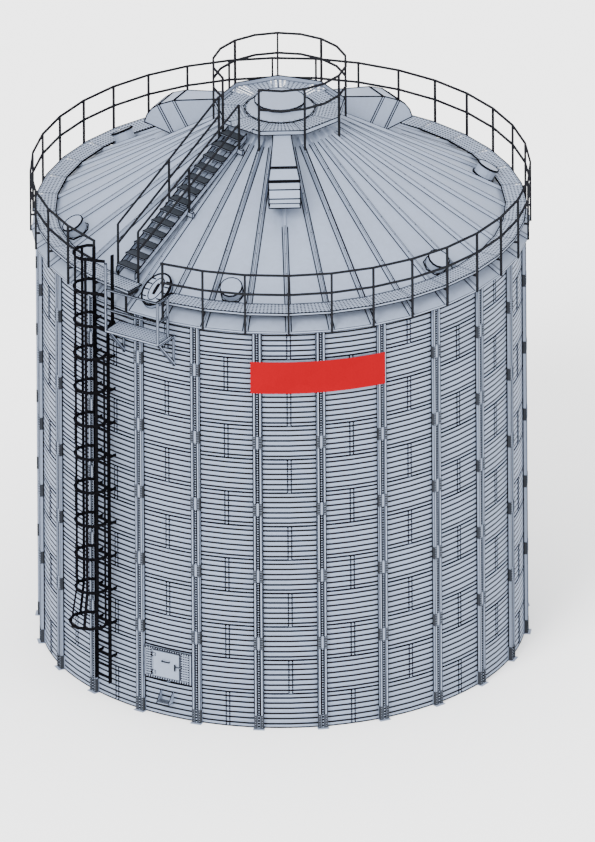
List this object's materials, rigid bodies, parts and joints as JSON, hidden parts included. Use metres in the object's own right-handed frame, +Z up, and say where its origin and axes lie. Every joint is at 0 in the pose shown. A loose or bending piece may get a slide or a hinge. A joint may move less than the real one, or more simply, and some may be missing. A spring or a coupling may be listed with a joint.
{
  "type": "grain silo",
  "caption": "Bolted corrugated steel grain silo with a ribbed cone roof, eave and peak walkways, caged ladder, roof stair and a hinged access door.",
  "frame": {"origin": "on the silo's axis at ground level", "axes": "+Z up along the axis, -Y to the front, where the sign panel is; the door and the ladder are front left"},
  "size_m": [11.1146, 11.1146, 13.801],
  "materials": {
    "wall_sheet": "galvanised corrugated sheet",
    "roof_sheet": "galvanised flat sheet between pressed ribs",
    "vent_steel": "galvanised folded sheet",
    "walkway_steel": "galvanised perforated plank",
    "rail_steel": "galvanised tube and angle",
    "dark_steel": "dark satin paint",
    "door_steel": "galvanised plate",
    "sign_red": "plain red gloss paint"
  },
  "bodies": {
    "silo": {"wall_panel_01": "wall_sheet", "wall_panel_02": "wall_sheet", "wall_panel_03": "wall_sheet", "wall_panel_04": "wall_sheet", "wall_panel_05": "wall_sheet", "wall_panel_06": "wall_sheet", "wall_panel_07": "wall_sheet", "wall_panel_08": "wall_sheet", "wall_panel_09": "wall_sheet", "wall_panel_10": "wall_sheet", "wall_panel_11": "wall_sheet", "door_panel_left": "wall_sheet", "door_panel_right": "wall_sheet", "door_panel_below": "wall_sheet", "door_panel_above": "wall_sheet", "roof_sector_1": "roof_sheet", "roof_sector_2": "roof_sheet", "roof_sector_3": "roof_sheet", "roof_sector_4": "roof_sheet", "roof_sector_5": "roof_sheet", "roof_sector_6": "roof_sheet", "peak_collar": "roof_sheet", "roof_vent_1": "vent_steel", "roof_vent_2": "vent_steel", "roof_vent_3": "vent_steel", "roof_vent_4": "vent_steel", "roof_vent_5": "vent_steel", "roof_vent_6": "vent_steel", "vent_hood_1": "vent_steel", "vent_hood_2": "vent_steel", "vent_hood_3": "vent_steel", "roof_manhole": "vent_steel", "fill_cap": "vent_steel", "eave_walkway_right": "walkway_steel", "eave_walkway_back": "walkway_steel", "eave_walkway_left": "walkway_steel", "peak_platform": "walkway_steel", "rest_platform": "walkway_steel", "roof_stair": "walkway_steel", "door_step": "walkway_steel", "eave_railing_right": "rail_steel", "eave_railing_back": "rail_steel", "eave_railing_left": "rail_steel", "peak_railing": "rail_steel", "eave_foot": "rail_steel", "stair_rail_left": "rail_steel", "stair_rail_right": "rail_steel", "access_ladder": "dark_steel", "ladder_cage": "dark_steel", "door_frame": "door_steel", "sign_panel": "sign_red"},
    "door": {"door_leaf": "door_steel"}
  },
  "joints": [
    {"name": "door_swing", "type": "hinge", "parent": "silo", "child": "door", "pos_m": [-3.04486, -4.51785, 1.2715], "axis": [0, 0, -1], "range_deg": [0, 110]}
  ]
}
